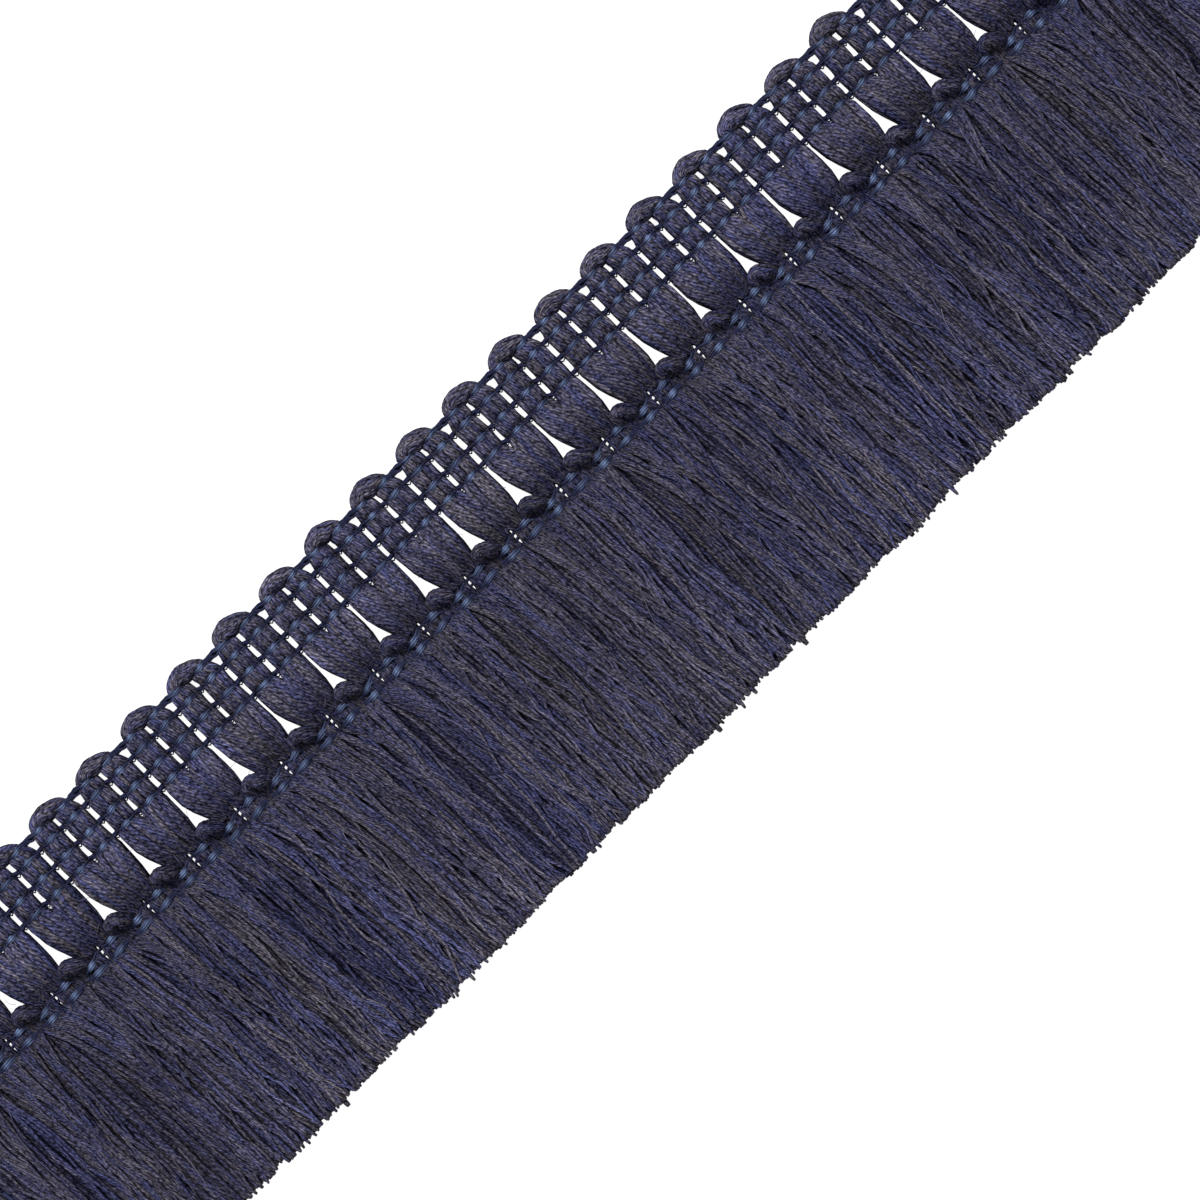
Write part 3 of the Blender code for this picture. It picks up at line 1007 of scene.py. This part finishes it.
# A lot of loose fibres: the solid they lie on, how many there are, between which distances down
# and lengths (millimetres), how far they slant (degrees) and how wide each is (millimetres)
FibreLot = namedtuple("FibreLot", "node count downs lengths slant width seed")
FIBRE_LOTS = {
    "skirt_fibres": FibreLot("skirt", 90, (26, 58), (3, 9), 13, 0.12, 12),
    "puff_fibres": FibreLot("heading", 150, (12.5, 20), (0.8, 2.4), 60, 0.07, 11),
}
# Height of the trim's face at these distances down
FACE = ((12, 15, 20, 26, 40, 64), (2.2, 2.5, 2.0, 2.7, 2.75, 2.2))


def scatter(name, lot, yarn):
    """One piece of all the fibres of a lot, each gently curved and risen at its middle."""
    rng = np.random.default_rng(lot.seed)
    each = (lot.count, 1)
    t = np.linspace(0, 1, 9)
    step = rng.uniform(*lot.lengths, each) / (len(t) - 1)
    angle = np.radians(rng.normal(4, lot.slant, each) + rng.normal(0, 20, each) * (t - 0.5))
    left, right = -LENGTH / 2 + 4, LENGTH / 2 - 6  # they stay clear of the trim's ends
    x = rng.uniform(left, right, each) + np.cumsum(np.sin(angle) * step, axis=1)
    down = rng.uniform(*lot.downs, each) + np.cumsum(np.cos(angle) * step, axis=1)
    down = np.minimum(down, TOP_EDGE * 2 - 0.4)
    z = np.interp(down, *FACE) - 0.15 + 0.4 * np.sin(math.pi * t)
    paths = np.stack([x, TOP_EDGE - down, z], axis=-1)
    values = {"navy": rng.uniform(0, 1, lot.count), "shade": rng.uniform(0.6, 1.3, lot.count)}
    piece = tubes(name, paths, np.full(each, lot.width), values)
    fit_out(piece, lot.node, loose_fibre(yarn))


class FRINGE_OT_stray_fibres(bpy.types.Operator):
    """Lays the loose fibres that cross the skirt and stand off the puffs"""

    bl_idname = "fringe.stray_fibres"
    bl_label = "Stray fibres"

    def execute(self, context):
        for name, lot in FIBRE_LOTS.items():
            scatter(name, lot, context.scene.fringe_yarn)
        return {"FINISHED"}


# ---------------------------------------------------------------- stage

VIEW_CENTRE = (-2.0, -5.92)  # millimetres
VIEW_WIDTH = 179.4  # millimetres seen from side to side of the view
VIEW_ROLL = math.radians(-45.2)
LENS = 100.0
SENSOR = 36.0
TABLE_REACH = 3.0  # metres from the middle of the table to its sides
TABLE_CORNERS = ((-1, -1), (1, -1), (1, 1), (-1, 1))


def area_light(name, place_at, size, power):
    """A square lamp of this size (metres) and power (watts), aimed at the trim's middle."""
    light = bpy.data.lights.new(name, "AREA")
    light.size = size
    light.energy = power
    obj = bpy.data.objects.new(name, light)
    obj.location = place_at
    obj.rotation_euler = (-Vector(place_at)).to_track_quat("-Z", "Y").to_euler()
    bpy.context.scene.collection.objects.link(obj)


class FRINGE_OT_stage(bpy.types.Operator):
    """Sets the white table, the soft lights and the camera"""

    bl_idname = "fringe.stage"
    bl_label = "Table, lights and camera"

    def execute(self, context):
        scene = context.scene
        mesh = bpy.data.meshes.new("table")
        corners = [(x * TABLE_REACH, y * TABLE_REACH, 0) for x, y in TABLE_CORNERS]
        mesh.from_pydata(corners, [], [(0, 1, 2, 3)])
        table = bpy.data.objects.new("table", mesh)
        scene.collection.objects.link(table)
        mesh.materials.append(white_table())

        world = bpy.data.worlds.new("studio")
        world.use_nodes = True
        background = world.node_tree.nodes["Background"]
        background.inputs["Color"].default_value = linear("#ffffff")
        background.inputs["Strength"].default_value = 0.30
        scene.world = world
        area_light("key", (-0.05, 0.80, 0.80), 0.35, 20.0)
        area_light("fill", (0.7, -0.5, 0.8), 0.6, 2.0)

        camera = bpy.data.cameras.new("camera")
        camera.lens, camera.sensor_width = LENS, SENSOR
        eye = bpy.data.objects.new("camera", camera)
        distance = VIEW_WIDTH * LENS / SENSOR
        eye.location = (VIEW_CENTRE[0] * MM, VIEW_CENTRE[1] * MM, distance * MM)
        eye.rotation_euler = (0, 0, VIEW_ROLL)
        scene.collection.objects.link(eye)
        scene.camera = eye
        scene.view_settings.view_transform = "Standard"
        return {"FINISHED"}


class FRINGE_PT_sidebar(bpy.types.Panel):
    """Lists the pieces and their settings"""

    bl_idname = "FRINGE_PT_sidebar"
    bl_label = "Brush fringe trim"
    bl_space_type = "VIEW_3D"
    bl_region_type = "UI"
    bl_category = "Fringe"

    def draw(self, context):
        for group in ("fringe_yarn", "fringe_thread", "fringe_skirt"):
            settings = getattr(context.scene, group)
            box = self.layout.box()
            for name in type(settings).__annotations__:
                box.prop(settings, name)
        for operator in OPERATORS:
            self.layout.operator(operator.bl_idname)


SETTINGS = {
    "fringe_yarn": FringeYarn,
    "fringe_thread": FringeThread,
    "fringe_skirt": FringeSkirt,
}
OPERATORS = (
    FRINGE_OT_scallops,
    FRINGE_OT_knuckles,
    FRINGE_OT_skirt,
    FRINGE_OT_threads,
    FRINGE_OT_stray_fibres,
    FRINGE_OT_stage,
)


def register():
    """Makes the settings, the operators and the panel known to Blender."""
    for name, group in SETTINGS.items():
        bpy.utils.register_class(group)
        setattr(bpy.types.Scene, name, bpy.props.PointerProperty(type=group))
    for cls in (*OPERATORS, FRINGE_PT_sidebar):
        bpy.utils.register_class(cls)


def unregister():
    """Takes them away again."""
    for cls in reversed((*OPERATORS, FRINGE_PT_sidebar)):
        bpy.utils.unregister_class(cls)
    for name, group in reversed(SETTINGS.items()):
        delattr(bpy.types.Scene, name)
        bpy.utils.unregister_class(group)


def main():
    """Makes every piece and the stage."""
    register()
    bpy.ops.fringe.scallops()
    bpy.ops.fringe.knuckles()
    bpy.ops.fringe.skirt()
    bpy.ops.fringe.threads()
    bpy.ops.fringe.stray_fibres()
    bpy.ops.fringe.stage()


if __name__ == "__main__":
    main()
